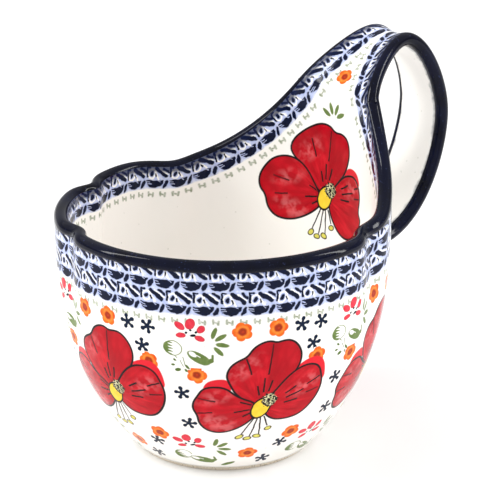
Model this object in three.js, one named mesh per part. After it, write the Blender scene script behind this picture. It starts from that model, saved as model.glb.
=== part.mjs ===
// Loop-handled stoneware soup mug: a deep cup with a fluted rim, whose back wall rises, narrows and
// loops over into a strap that comes down to the wall again. Millimetres, +Z up, strap towards +X.
// The mug is one fired piece. It is split here along the lines where its clay was luted and where
// one finish gives way to the next: bare foot, white cup, cobalt rim and edges, strap and its pad.
import * as THREE from 'three';

// Cup
const footRadius = 27.5;
const footHeight = 2;
const footWidth = 5;
const footRecess = 1.2;
const rimRadius = 52.3;
const rimHeight = 77.6;
const bellyPower = 2.9;
const floorHeight = 8;
const floorRoundness = 2.8;
const wallThickness = 4.4;

// Raised back of the cup, which carries the strap
const backRise = 28;
const backHalfAngle = 20.5;
const backFootAngle = 72;
const backPower = 2.05;
const backLean = 0.8;
const leanDrop = 16;

// Flutes pressed into the rim: where, how deep, how wide, and the height where they start
const flutes = [
  { angle: -67, depth: 3.0, width: 7.0 },
  { angle: 70, depth: 2.6, width: 8.0 },
  { angle: 111, depth: 3.2, width: 6.0 },
  { angle: 164, depth: 2.2, width: 5.5 },
];
const fluteStart = 28;
const lobe = { angle: 88, rise: 1.0, width: 13 };

// Cobalt band on the rim and along the edges of the strap
const bandHeight = 3;
const bandNose = 2.2;
const bandBulge = 0.15;
const steepestStretch = 1.6;

// Strap: its path is measured out from the rim's radius and up from the rim
const strapThickness = 4.4;
const crestReach = 17.7;
const crestRise = 42.9;
const crestHalfWidth = 9.2;
const loopReach = 35.6;
const loopRise = 15.8;
const loopHalfWidth = 10.3;
const tailHeight = 55;
const tailHalfWidth = 12.6;
const strapCurl = 0.022;
const tailCurl = 0.009;

// Pad of clay that lutes the strap's tail to the wall
const padLength = 4.2;
const padFlare = 2.6;
const padRounding = 0.6;

// Clearance between neighbouring zones
const jointGap = 0.3;

// Fineness
const backColumns = 12;
const cupColumns = 78;
const strapStepsPerArc = 14;
const strapColumns = 6;
const noseSteps = 6;
const footColumns = 48;
const padSteps = 5;

const degree = Math.PI / 180;
const halfTurn = 180;
const splitHeight = rimHeight + backRise;
const backAngle = backHalfAngle * degree;
const wallMiddle = rimRadius + backLean - wallThickness / 2;

const clamp = (value) => Math.min(1, Math.max(0, value));
const mix = (from, to, share) => from + (to - from) * share;

function smoothStep(from, to, value) {
  const share = clamp((value - from) / (to - from));
  return share * share * (3 - 2 * share);
}

function turnBetween(angle, centre) {
  const turn = angle / degree - centre;
  return turn - 2 * halfTurn * Math.round(turn / (2 * halfTurn));
}

function bell(angle, { angle: centre, width }) {
  return Math.exp(-((turnBetween(angle, centre) / width) ** 2));
}

// Cup surfaces as functions of the angle round the axis and of the height

function fluteDepth(angle, height) {
  const depth = flutes.reduce((sum, flute) => sum + flute.depth * bell(angle, flute), 0);
  return depth * smoothStep(fluteStart, rimHeight, height);
}

function leanOut(height) {
  return backLean * clamp((height - splitHeight + leanDrop) / leanDrop) ** 2;
}

function outerRadius(angle, height) {
  const belly = 1 - (1 - clamp(height / rimHeight)) ** bellyPower;
  return mix(footRadius, rimRadius, belly) + leanOut(height) - fluteDepth(angle, height);
}

function innerRadius(angle, height) {
  const rise = clamp((height - floorHeight) / (rimHeight - floorHeight));
  const bowl = (1 - (1 - rise) ** bellyPower) ** (1 / floorRoundness);
  return (rimRadius - wallThickness) * bowl + leanOut(height) - fluteDepth(angle, height);
}

function rimTop(angle) {
  const turn = Math.abs(turnBetween(angle, 0));
  const fall = clamp((turn - backHalfAngle) / (backFootAngle - backHalfAngle));
  return rimHeight + backRise * (1 - fall) ** backPower + lobe.rise * bell(angle, lobe);
}

// How much taller the band is cut where the rim climbs, so that it keeps its width
function climbStretch(angle) {
  const step = 0.5 * degree;
  const climb = (rimTop(angle + step) - rimTop(angle - step)) / (2 * step * rimRadius);
  return Math.min(steepestStretch, Math.hypot(1, climb));
}

function bandFoot(angle) {
  return rimTop(angle) - bandHeight * climbStretch(angle);
}

// Strap: three arcs, each point holding the distance out, the half width and the height
const tailFace = Math.sqrt(outerRadius(0, tailHeight) ** 2 - tailHalfWidth ** 2)
  + padLength + tailHalfWidth ** 2 / (2 * rimRadius);
const startHalfWidth = wallMiddle * Math.sin(backAngle);
const startCurl = (wallMiddle * (1 - Math.cos(backAngle))) / startHalfWidth ** 2;
const startReach = wallMiddle * Math.cos(backAngle);
const crest = new THREE.Vector3(rimRadius + crestReach, crestHalfWidth, rimHeight + crestRise);
const outermost = new THREE.Vector3(rimRadius + loopReach, loopHalfWidth, rimHeight + loopRise);
const tail = new THREE.Vector3(tailFace, tailHalfWidth, tailHeight);
const start = new THREE.Vector3(startReach, startHalfWidth, splitHeight);

function pulled(point, out, widen, up) {
  return new THREE.Vector3(point.x + out, point.y + widen, point.z + up);
}

// The strap sets off along the line in which the rim arrives
const backWidth = (backFootAngle - backHalfAngle) * degree * wallMiddle;
const climb = (backPower * backRise) / backWidth;
const leaning = (2 * backLean * climb) / leanDrop;
const startPull = new THREE.Vector3(
  Math.sin(backAngle) + leaning * Math.cos(backAngle),
  -Math.cos(backAngle) + leaning * Math.sin(backAngle),
  climb,
).multiplyScalar(((crest.z - start.z) * 0.2) / climb);
const crestIn = (crest.x - start.x) * 0.41;
const crestOut = (outermost.x - crest.x) * 0.54;
const shoulderUp = (crest.z - outermost.z) * 0.41;
const shoulderDown = (outermost.z - tail.z) * 0.31;
const tailOut = (outermost.x - tail.x) * 0.72;
const strapArcs = [
  [start, start.clone().add(startPull), pulled(crest, -crestIn, 0.6, 0), crest],
  [crest, pulled(crest, crestOut, -0.65, 0), pulled(outermost, 0, -0.55, shoulderUp), outermost],
  [outermost, pulled(outermost, 0, 0.6, -shoulderDown), pulled(tail, tailOut, -1.6, 0), tail],
].map((points) => new THREE.CubicBezierCurve3(...points));

const strapEnd = strapArcs.length;

// The strap's frame at a place from 0 at the back wall to 3 at the tail. `face` points out of the
// side that carries on from the inside of the cup.
function strapFrame(place) {
  const index = Math.min(strapEnd - 1, Math.floor(place));
  const arc = strapArcs[index];
  const edge = arc.getPoint(place - index);
  const along = arc.getTangent(place - index);
  const settled = smoothStep(0, 0.4, place);
  const level = new THREE.Vector2(-1, 0);
  const square = new THREE.Vector2(-along.z, along.x).normalize();
  const face = level.lerp(square, settled).normalize();
  const curl = mix(startCurl, strapCurl, smoothStep(0, 0.8, place));
  const hollow = mix(curl, tailCurl, smoothStep(1.6, strapEnd, place)) * edge.y ** 2;
  return { edge, face, hollow };
}

// A point of the strap: `across` from the middle, `proud` of the middle surface. The section is a
// shallow gutter, its middle surface a parabola, and `proud` is measured square to it.
function strapPoint(frame, across, proud) {
  const { edge, face, hollow } = frame;
  const share = across / edge.y;
  const slope = (2 * hollow * share) / edge.y;
  const length = Math.hypot(1, slope);
  const out = -hollow * (1 - share * share) + proud / length;
  const side = across - (proud * slope) / length;
  return new THREE.Vector3(edge.x + face.x * out, side, edge.z + face.y * out);
}

// The strap's edge runs into the climbing rim band through a mitre
function mitreDrop(across, halfWidth) {
  const share = clamp((Math.abs(across) - (halfWidth - bandHeight)) / bandHeight);
  return share * bandHeight * steepestStretch;
}

// Solids from rings of points

function solid(rings, capStart, capEnd) {
  const count = rings[0].length;
  const points = rings.flat();
  const faces = [];
  for (let ring = 0; ring + 1 < rings.length; ring += 1) {
    for (let column = 0; column < count; column += 1) {
      const next = (column + 1) % count;
      const [a, b] = [ring * count + column, ring * count + next];
      faces.push([a, b, b + count], [a, b + count, a + count]);
    }
  }
  capStart(0, count, points, faces, true);
  capEnd((rings.length - 1) * count, count, points, faces, false);
  return bodyOf(points, faces);
}

function bodyOf(points, faces) {
  const volume = faces.reduce((sum, [a, b, c]) => {
    const cross = new THREE.Vector3().crossVectors(points[b], points[c]);
    return sum + points[a].dot(cross);
  }, 0);
  const outward = volume > 0 ? faces : faces.map(([a, b, c]) => [a, c, b]);
  const geometry = new THREE.BufferGeometry().setFromPoints(points);
  geometry.setIndex(outward.flat());
  geometry.computeVertexNormals();
  return geometry;
}

function addFace(faces, face, reverse) {
  faces.push(reverse ? [face[0], face[2], face[1]] : face);
}

// A cap that runs from every point of the ring to one middle point
function fanTo(centre) {
  return (first, count, points, faces, reverse) => {
    const middle = points.push(centre) - 1;
    for (let column = 0; column < count; column += 1) {
      const next = (column + 1) % count;
      addFace(faces, [first + column, first + next, middle], reverse);
    }
  };
}

function fanOf(ring) {
  const centre = new THREE.Vector3();
  ring.forEach((point) => centre.addScaledVector(point, 1 / ring.length));
  return fanTo(centre);
}

// A cap for a flat section whose ring runs out along one side and back along the other
function ladder(first, count, points, faces, reverse) {
  for (let step = 0; step < count / 2 - 1; step += 1) {
    const [near, far] = [first + step, first + count - 1 - step];
    addFace(faces, [near, near + 1, far - 1], reverse);
    addFace(faces, [near, far - 1, far], reverse);
  }
}

function around(angle, radius, height) {
  return new THREE.Vector3(radius * Math.cos(angle), radius * Math.sin(angle), height);
}

function steps(count, from = 0, to = 1) {
  return Array.from({ length: count + 1 }, (_, step) => mix(from, to, step / count));
}

// Columns round the cup, closer together across the raised back
const backAngles = steps(backColumns, -1, 1).map((share) => Math.asin(share * Math.sin(backAngle)));
const rimAngles = steps(cupColumns, backAngle, 2 * Math.PI - backAngle);
const cupAngles = [...backAngles, ...rimAngles.slice(1, -1)];

function wallTop(angle) {
  const turn = Math.abs(turnBetween(angle, 0));
  if (turn > backHalfAngle + 0.01) return bandFoot(angle) - jointGap;
  const across = wallMiddle * Math.sin(Math.abs(angle));
  return splitHeight - jointGap - mitreDrop(across, startHalfWidth);
}

function cupBody() {
  const underside = footHeight + jointGap;
  const outerShares = [0, 0.06, 0.13, 0.22, 0.33, 0.46, 0.6, 0.74, 0.87, 1];
  const innerShares = [1, 0.85, 0.7, 0.55, 0.42, 0.3, 0.2, 0.12, 0.06, 0.025, 0.006];
  const ringAt = (radius, height) => cupAngles.map((angle) => around(angle, radius, height));
  const innerFoot = footRadius - footWidth;
  const rings = [
    ringAt(innerFoot - 2, underside + footRecess),
    ringAt(innerFoot - 0.5, underside),
    ...outerShares.map((share) => cupAngles.map((angle) => {
      const height = mix(underside, wallTop(angle), share);
      return around(angle, outerRadius(angle, height), height);
    })),
    ...innerShares.map((share) => cupAngles.map((angle) => {
      const height = mix(floorHeight, wallTop(angle), share);
      return around(angle, innerRadius(angle, height), height);
    })),
  ];
  const under = new THREE.Vector3(0, 0, underside + footRecess);
  const floor = new THREE.Vector3(0, 0, floorHeight);
  return solid(rings, fanTo(under), fanTo(floor));
}

function footRing() {
  const inner = footRadius - footWidth;
  const corner = 0.4;
  const topRadius = outerRadius(0, footHeight);
  const outline = [
    [inner, corner], [inner + corner, 0], [footRadius - corner, 0], [footRadius, corner],
    [topRadius, footHeight], [inner, footHeight], [inner, corner],
  ].map(([radius, height]) => new THREE.Vector2(radius, height));
  const ring = new THREE.LatheGeometry(outline, footColumns);
  return ring.rotateX(90 * degree);
}

function rimBand() {
  const margin = (jointGap / rimRadius) * 1.5;
  const angles = steps(cupColumns, backAngle + margin, 2 * Math.PI - backAngle - margin);
  const rings = angles.map((angle) => {
    const top = rimTop(angle);
    const foot = bandFoot(angle);
    const outer = outerRadius(angle, top);
    const inner = innerRadius(angle, top);
    const middle = (outer + inner) / 2;
    const reach = (outer - inner) / 2 + bandBulge;
    const nose = (bandNose * (top - foot)) / bandHeight;
    const arch = steps(noseSteps, 0, Math.PI).map((swing) => (
      around(angle, middle + reach * Math.cos(swing), top - nose + nose * Math.sin(swing))));
    return [around(angle, outer, foot), ...arch, around(angle, inner, foot)];
  });
  return solid(rings, fanOf(rings[0]), fanOf(rings[rings.length - 1]));
}

// Places along the strap, and the frames there
const strapPlaces = steps(strapStepsPerArc * strapEnd, 0, strapEnd);
const strapFrames = strapPlaces.map(strapFrame);

function sectionRing(frame, halfWidth, halfThickness) {
  const across = steps(strapColumns, -halfWidth, halfWidth);
  return [
    ...across.map((place) => strapPoint(frame, place, halfThickness)),
    ...across.reverse().map((place) => strapPoint(frame, place, -halfThickness)),
  ];
}

function strapHandle() {
  const rings = strapFrames.map((frame) => (
    sectionRing(frame, frame.edge.y - bandHeight - jointGap / 2, strapThickness / 2)));
  return solid(rings, ladder, ladder);
}

function strapEdge(side) {
  const half = strapThickness / 2;
  const rings = strapFrames.map((frame, index) => {
    const width = frame.edge.y;
    const inner = width - bandHeight + jointGap / 2;
    const noseCentre = width - bandNose;
    const nose = steps(noseSteps, -Math.PI / 2, Math.PI / 2).map((swing) => (
      [noseCentre + bandNose * Math.cos(swing), half * Math.sin(swing)]));
    const section = [[inner, -half], ...nose, [inner, half]];
    return section.map(([across, proud]) => {
      const point = strapPoint(frame, side * across, proud);
      if (index === 0) point.z -= mitreDrop(across, width) - jointGap / 2;
      return point;
    });
  });
  return solid(rings, fanOf(rings[0]), fanOf(rings[rings.length - 1]));
}

function strapPad() {
  const tailFrame = strapFrames[strapFrames.length - 1];
  const rings = steps(padSteps).map((share) => {
    const flare = padFlare * (1 - Math.sqrt(1 - (1 - share) ** 2));
    const halfWidth = tailHalfWidth + flare;
    const halfThickness = strapThickness / 2 + flare;
    const section = sectionRing(tailFrame, halfWidth, halfThickness);
    const middle = (index) => section[index].clone().add(section[section.length - 1 - index]);
    return section.map((point, index) => {
      const round = padRounding * Math.abs(point.y / halfWidth) ** 6;
      point.lerp(middle(index).multiplyScalar(0.5), round);
      const angle = Math.asin(point.y / outerRadius(0, point.z));
      const wall = outerRadius(0, point.z) * Math.cos(angle) + jointGap;
      const face = tailFace - jointGap;
      return new THREE.Vector3(mix(wall, face, share), point.y, point.z);
    });
  });
  return solid(rings, ladder, ladder);
}

const whiteGlaze = { color: 0xf1ece2, roughness: 0.12, metalness: 0 };
const cobaltGlaze = { color: 0x161a38, roughness: 0.1, metalness: 0 };
const bareClay = { color: 0xd6cdbd, roughness: 0.85, metalness: 0 };

const mug = new THREE.Group();
const group = new THREE.Group();
group.add(mug);

function addPiece(name, geometry, finish) {
  const piece = new THREE.Mesh(geometry, new THREE.MeshStandardMaterial(finish));
  piece.name = name;
  mug.add(piece);
}

addPiece('foot_ring', footRing(), bareClay);
addPiece('cup_body', cupBody(), whiteGlaze);
addPiece('rim_band', rimBand(), cobaltGlaze);
addPiece('strap_handle', strapHandle(), whiteGlaze);
addPiece('strap_edge_left', strapEdge(1), cobaltGlaze);
addPiece('strap_edge_right', strapEdge(-1), cobaltGlaze);
addPiece('strap_pad', strapPad(), whiteGlaze);

// The part's origin is under the middle of its outline, on the table
const outline = new THREE.Box3().setFromObject(mug);
const centre = outline.getCenter(new THREE.Vector3());
mug.position.set(-centre.x, -centre.y, -outline.min.z);

export default group;
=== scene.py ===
import math

import bmesh
import bpy
import numpy as np
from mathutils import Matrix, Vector


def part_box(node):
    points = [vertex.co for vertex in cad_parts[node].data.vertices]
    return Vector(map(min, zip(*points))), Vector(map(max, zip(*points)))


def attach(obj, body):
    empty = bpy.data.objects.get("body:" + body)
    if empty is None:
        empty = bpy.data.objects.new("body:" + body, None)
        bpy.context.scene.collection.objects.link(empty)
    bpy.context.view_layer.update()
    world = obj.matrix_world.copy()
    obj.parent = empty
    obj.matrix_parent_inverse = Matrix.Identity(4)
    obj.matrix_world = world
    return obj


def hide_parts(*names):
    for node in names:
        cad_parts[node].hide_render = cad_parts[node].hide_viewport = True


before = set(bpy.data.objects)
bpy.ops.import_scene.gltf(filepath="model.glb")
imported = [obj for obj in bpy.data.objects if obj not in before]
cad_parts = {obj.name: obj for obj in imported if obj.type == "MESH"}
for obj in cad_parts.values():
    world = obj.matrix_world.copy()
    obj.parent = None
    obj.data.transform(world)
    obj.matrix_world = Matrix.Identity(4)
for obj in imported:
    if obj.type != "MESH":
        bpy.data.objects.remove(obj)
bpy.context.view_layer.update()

mm = 0.001
footLow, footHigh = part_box("foot_ring")
cupLow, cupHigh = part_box("cup_body")
axisX = (footLow[0] + footHigh[0]) / 2 / mm     # the cup's axis, in millimetres

# Shape of the mug, in millimetres and degrees

cup = {
    "footRadius": 27.5, "footHeight": 2.0, "footStep": 0.1, "footRecess": 1.5,
    "rimRadius": (cupHigh[1] - cupLow[1]) / 2 / mm, "rimHeight": 77.6, "belly": 2.9,
    "floor": 8.0, "floorRound": 2.8, "wall": 4.4,
    "backRise": 28.0, "backHalfAngle": 20.5, "backFootAngle": 72.0, "backPower": 2.05,
    "lean": 0.8, "leanDrop": 16.0,
    "fluteStart": 28.0,
    "flutes": [(-67, 3.0, 7.0), (70, 2.6, 8.0), (111, 3.2, 6.0), (164, 2.2, 5.5)],  # place, depth, width
    "lobe": (88, 1.0, 13.0),                     # a rise of the rim between two flutes
    "nose": 2.3,                                 # how far down the rim's rounding goes
    "columns": 0.95, "noseSteps": 8, "wallRows": 96, "floorRows": 28, "floorShare": 0.9, "bowlRows": 72,
}
strap = {
    "half": 2.2, "curl": 0.022, "tailCurl": 0.009, "rows": 200, "columns": 22, "backBorder": 6.5,
    "crestReach": 17.7, "crestRise": 42.9, "crestHalfWidth": 9.2,
    "loopReach": 35.6, "loopRise": 15.8, "loopHalfWidth": 10.3,
    "tailHeight": 55.0, "tailHalfWidth": 12.6, "padLength": 4.2,
    # places along the strap, from 0 to 3, where the wall's shape has turned into the strap's own
    "faceBlend": 0.4, "curlBlend": 0.8, "tailBlend": 1.6, "stretchBlend": 0.5, "startBlend": 0.35,
    "thinRow": 0.002,
}

splitHeight = cup["rimHeight"] + cup["backRise"]
backAngle = math.radians(cup["backHalfAngle"])
wallMiddle = cup["rimRadius"] + cup["lean"] - cup["wall"] / 2
startHalfWidth = wallMiddle * math.sin(backAngle)
backWidth = math.radians(cup["backFootAngle"] - cup["backHalfAngle"]) * wallMiddle
climb = cup["backPower"] * cup["backRise"] / backWidth
climbStretch = math.hypot(1, climb)


def smoothStep(low, high, value):  # 0 below low, 1 above high, a cubic between
    share = np.clip((value - low) / (high - low), 0, 1)
    return share * share * (3 - 2 * share)


def bell(angle, centre, width):  # a bump round the axis: exp of minus the square of turn over width
    turn = (np.degrees(angle) - centre + 180) % 360 - 180
    return np.exp(-(turn / width) ** 2)


def fluteDepth(angle, height):  # the sum of the flutes' bells, fading in from fluteStart to the rim
    depth = sum(deep * bell(angle, centre, width) for centre, deep, width in cup["flutes"])
    return depth * smoothStep(cup["fluteStart"], cup["rimHeight"], height)


def leanOut(height):  # lean times the square of the share of leanDrop
    start = splitHeight - cup["leanDrop"]
    return cup["lean"] * np.clip((height - start) / cup["leanDrop"], 0, 1) ** 2


def outerRadius(angle, height):  # foot plus the rest times one minus (1 - share) to the belly's power
    share = np.clip(height / cup["rimHeight"], 0, 1)
    swell = (cup["rimRadius"] - cup["footRadius"]) * (1 - (1 - share) ** cup["belly"])
    return cup["footRadius"] + swell + leanOut(height) - fluteDepth(angle, height)


def innerRadius(angle, height):  # the belly's curve again, to one over floorRound for a round floor
    share = np.clip((height - cup["floor"]) / (cup["rimHeight"] - cup["floor"]), 0, 1)
    bowl = (1 - (1 - share) ** cup["belly"]) ** (1 / cup["floorRound"])
    return (cup["rimRadius"] - cup["wall"]) * bowl + leanOut(height) - fluteDepth(angle, height)


def rimTop(angle):  # level at the front, rising as a power of the angle towards the back
    turn = np.abs((np.degrees(angle) + 180) % 360 - 180)
    span = cup["backFootAngle"] - cup["backHalfAngle"]
    fall = np.clip((turn - cup["backHalfAngle"]) / span, 0, 1)
    centre, rise, width = cup["lobe"]
    top = cup["rimHeight"] + cup["backRise"] * (1 - fall) ** cup["backPower"]
    return top + rise * bell(angle, centre, width)


def rimStretch(angle):  # length of the rim per length round the wall: the root of 1 + slope squared
    step = math.radians(0.5)
    slope = (rimTop(angle + step) - rimTop(angle - step)) / (2 * step * wallMiddle)
    return np.where(np.abs(angle) > backAngle, np.hypot(1, slope), climbStretch)


def noseShare(depth, reach):  # quarter of an ellipse: 0 on the crest, 1 from `reach` down
    return np.sqrt(np.clip(1 - (1 - np.clip(depth / reach, 0, 1)) ** 2, 0, 1))


def crestDepth(angle, height):  # distance down the sheet from the rim's crest
    turn = np.abs((angle + math.pi) % (2 * math.pi) - math.pi)
    rim = (rimTop(angle) - height) / rimStretch(angle)
    back = (climb * wallMiddle * (backAngle - turn) + splitHeight - height) / climbStretch
    return np.where(turn >= backAngle, rim, back)


def wallPoint(angle, height, side, lift=0.0):  # middle of the wall plus or minus its rounded half
    outer, inner = outerRadius(angle, height), innerRadius(angle, height)
    half = (outer - inner) / 2 + lift
    depth = crestDepth(angle, height) + lift
    radius = (outer + inner) / 2 + side * half * noseShare(depth, cup["nose"] + lift)
    return np.stack([radius * np.cos(angle), radius * np.sin(angle), height + 0 * angle], -1)


# Strap: three cubic arcs through points of distance out, half width and height. The middle two
# points of an arc pull it, by a share of the way to its other end and by a widening
tailReach = math.sqrt(float(outerRadius(0.0, strap["tailHeight"])) ** 2 - strap["tailHalfWidth"] ** 2)
tailReach += strap["padLength"] + strap["tailHalfWidth"] ** 2 / (2 * cup["rimRadius"])
startPoint = np.array([wallMiddle * math.cos(backAngle), startHalfWidth, splitHeight])
crestPoint = np.array([cup["rimRadius"] + strap["crestReach"], strap["crestHalfWidth"],
                       cup["rimHeight"] + strap["crestRise"]])
loopPoint = np.array([cup["rimRadius"] + strap["loopReach"], strap["loopHalfWidth"],
                      cup["rimHeight"] + strap["loopRise"]])
tailPoint = np.array([tailReach, strap["tailHalfWidth"], strap["tailHeight"]])
leaning = 2 * cup["lean"] * climb / cup["leanDrop"]
startPull = np.array([math.sin(backAngle) + leaning * math.cos(backAngle),
                      leaning * math.sin(backAngle) - math.cos(backAngle), climb])
startPull *= (crestPoint[2] - splitHeight) * 0.2 / climb
strapArcs = np.array([
    [startPoint, startPoint + startPull,
     crestPoint + [(startPoint[0] - crestPoint[0]) * 0.41, 0.6, 0], crestPoint],
    [crestPoint, crestPoint + [(loopPoint[0] - crestPoint[0]) * 0.54, -0.65, 0],
     loopPoint + [0, -0.55, (crestPoint[2] - loopPoint[2]) * 0.41], loopPoint],
    [loopPoint, loopPoint + [0, 0.6, (tailPoint[2] - loopPoint[2]) * 0.31],
     tailPoint + [(loopPoint[0] - tailPoint[0]) * 0.72, -1.6, 0], tailPoint],
])
startCurl = wallMiddle * (1 - math.cos(backAngle)) / startHalfWidth ** 2
startStretch = math.hypot(1, startPull[1] / math.hypot(startPull[0], startPull[2]))


def strapFrame(place):  # Bezier sums of the arc's four points, and their slope
    index = np.minimum(len(strapArcs) - 1, np.floor(place)).astype(int)
    t = (place - index)[..., None]
    a, b, c, d = (strapArcs[index, k] for k in range(4))
    edge = a * (1 - t) ** 3 + 3 * b * t * (1 - t) ** 2 + 3 * c * t ** 2 * (1 - t) + d * t ** 3
    along = (b - a) * (1 - t) ** 2 + 2 * (c - b) * t * (1 - t) + (d - c) * t ** 2
    square = np.stack([-along[..., 2], along[..., 0]], -1)
    square /= np.linalg.norm(square, axis=-1, keepdims=True)
    settled = smoothStep(0, strap["faceBlend"], place)[..., None]
    face = np.array([-1.0, 0.0]) * (1 - settled) + square * settled
    face /= np.linalg.norm(face, axis=-1, keepdims=True)
    curl = startCurl + (strap["curl"] - startCurl) * smoothStep(0, strap["curlBlend"], place)
    curl = curl + (strap["tailCurl"] - curl) * smoothStep(strap["tailBlend"], len(strapArcs), place)
    widen = along[..., 1] / np.hypot(along[..., 0], along[..., 2])
    stretched = smoothStep(0, strap["stretchBlend"], place)
    stretch = startStretch + (np.hypot(1, widen) - startStretch) * stretched
    return {"edge": edge, "face": face, "hollow": curl * edge[..., 1] ** 2, "stretch": stretch}


def strapPoint(at, across, proud):  # a parabola across the strap, and `proud` square to it
    width = at["edge"][..., 1]
    share = across / width
    slope = 2 * at["hollow"] * share / width
    length = np.hypot(1, slope)
    out = -at["hollow"] * (1 - share ** 2) + proud / length
    side = across - proud * slope / length
    return np.stack([at["edge"][..., 0] + at["face"][..., 0] * out, side,
                     at["edge"][..., 2] + at["face"][..., 1] * out], -1)


# The whole sheet unrolled: x round the wall or across the strap, y up the wall and along the strap
strapPlaces = np.linspace(0, len(strapArcs), strap["rows"] + 1)
strapFrames = strapFrame(strapPlaces)
pathSteps = np.hypot(*np.diff(strapFrames["edge"][:, [0, 2]], axis=0).T)
pathLength = np.concatenate([[0], np.cumsum(pathSteps)])
sheetWiden = wallMiddle * backAngle / startHalfWidth
unrolled = {"crestSteps": 700, "profileSteps": 800, "batch": 4000, "reach": 30.0, "faraway": 40.0}


def crestLine(side):  # the crest unrolled, from the front of the cup round to the strap's tail
    turn = np.radians(np.linspace(180, cup["backHalfAngle"], unrolled["crestSteps"]))
    x = np.concatenate([wallMiddle * turn, strapFrames["edge"][1:, 1] * sheetWiden])
    y = np.concatenate([rimTop(side * turn), splitHeight + pathLength[1:]])
    return np.stack([x, y], -1)


def rimward(x, y, side):  # distance along the crest to the nearest spot on it, and down from there
    line = crestLine(side)
    step = np.diff(line, axis=0)
    travelled = np.concatenate([[0], np.cumsum(np.hypot(step[:, 0], step[:, 1]))])
    heading = np.gradient(line, axis=0)
    heading /= np.linalg.norm(heading, axis=1, keepdims=True)
    near = y > cup["rimHeight"] - unrolled["reach"]
    spots = np.stack([np.abs(x[near]), y[near]], -1)
    found = np.empty((len(spots), 2))
    for first in range(0, len(spots), unrolled["batch"]):
        batch = slice(first, first + unrolled["batch"])
        part = spots[batch]
        best = ((part[:, None, :] - line[None]) ** 2).sum(-1).argmin(1)
        away = part - line[best]
        ahead = (away * heading[best]).sum(1)
        aside = np.abs(away[:, 0] * heading[best, 1] - away[:, 1] * heading[best, 0])
        found[batch] = np.stack([travelled[best] + ahead, aside], -1)
    along, below = np.zeros(x.shape), np.full(x.shape, unrolled["faraway"])
    along[near], below[near] = side * found[:, 0], found[:, 1]
    return along, below


profileHeights = np.linspace(0, splitHeight, unrolled["profileSteps"])
profileSteps = np.hypot(np.diff(profileHeights), np.diff(outerRadius(math.pi, profileHeights)))
profileClimb = np.concatenate([[0], np.cumsum(profileSteps)])

# Where the painter puts each motif: outlines about a poppy's eye, and places round and up the wall
poppy = {
    "start": -116, "height": 34.4, "count": 6, "inside": (5.5, 68.5), "reach": 30, "beyond": 9.0,
    "left": [(-7.8, 4.8), (-11.3, 8.3), (-15.3, 8.8), (-18.4, 7.9), (-19.7, 5.2), (-20.9, 2.5),
             (-20.8, -0.2), (-19.1, -2.9), (-18.4, -6.3), (-15.9, -9.4), (-12.2, -10.8),
             (-8.1, -9.8), (-4.4, -7.1), (-1.5, -3.5), (-1, 1.5)],
    "top": [(-7.8, 4.8), (-10.6, 10.2), (-11.6, 12.9), (-10.6, 16), (-8.4, 17.9), (-5.5, 19.2),
            (-3.8, 22.1), (-1.3, 23.7), (1.3, 24.2), (3.4, 23.3), (5, 23.7), (7.5, 23.8),
            (10, 22.1), (11.6, 19), (11.6, 16), (10.6, 13.3), (5, 5), (0, 0)],
    "right": [(3.4, 5.6), (6.6, 9.8), (9.7, 12.5), (12.8, 13.8), (15.9, 13.7), (18.4, 12.1),
              (19.4, 9), (20, 6), (19.4, 2.5), (17.5, -1.3), (14.4, -4.8), (11.3, -6.3),
              (7.5, -6.5), (4.4, -6), (1.5, -3.5), (0, 1)],
    "behind": [(8, 12), (12.3, 15.4), (15.9, 16.3), (19, 15.6), (20.8, 12.1), (20.8, 6), (14, 5)],
    "beside": [(-18.5, 6), (-18, 10), (-15, 11.6), (-10.6, 11.6), (-9, 6)],
    "insideLeft": [(-3.7, 2.5), (-8.5, 9.5), (-14.1, 11.8), (-19.9, 10.5), (-23.4, 6.5), (-24.9, 3),
                   (-24.5, -0.5), (-22.6, -2.5), (-21.8, -7), (-18.7, -10), (-13.7, -10.4),
                   (-8.7, -8.5), (-4.2, -5.5), (-1, -2)],
    "insideTop": [(-8, 8), (-12.4, 11.5), (-14.1, 14.5), (-12.4, 18), (-9.2, 20.8), (-6.2, 22.8),
                  (-2.4, 24.6), (1.6, 24.6), (4.1, 22.6), (7.5, 23), (10.4, 21.5), (11.4, 17.5),
                  (10.4, 13), (8.3, 9), (3, 3), (-2, 0)],
    "insideRight": [(1.5, 1), (6.2, 7), (9.5, 9.6), (14.1, 10.5), (17, 8), (18, 4), (16.8, -1),
                    (19, -3.2), (16.4, -8), (12, -11.8), (7.8, -11.5), (4.6, -9), (1.8, -4.5)],
    "insideBehind": [(8, 8), (9.8, 12), (12.8, 13), (16.4, 11.8), (18, 7.5), (12, 5)],
}
petalNames = {1: ("left", "top", "right"), -1: ("insideLeft", "insideTop", "insideRight")}
lobeNames = {1: ("behind", "beside"), -1: ("insideBehind",)}
kinds = {"star": 1, "orange": 2, "rose": 3, "fan": 4, "bud": 5, "leaf": 6, "comma": 7, "sprig": 8}
sizes = {"star": 2.4, "orange": 3.2, "rose": 5.2, "fan": 4.2, "bud": 3.4, "leaf": 2.6,
         "comma": 4.6, "sprig": 3.0}
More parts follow.
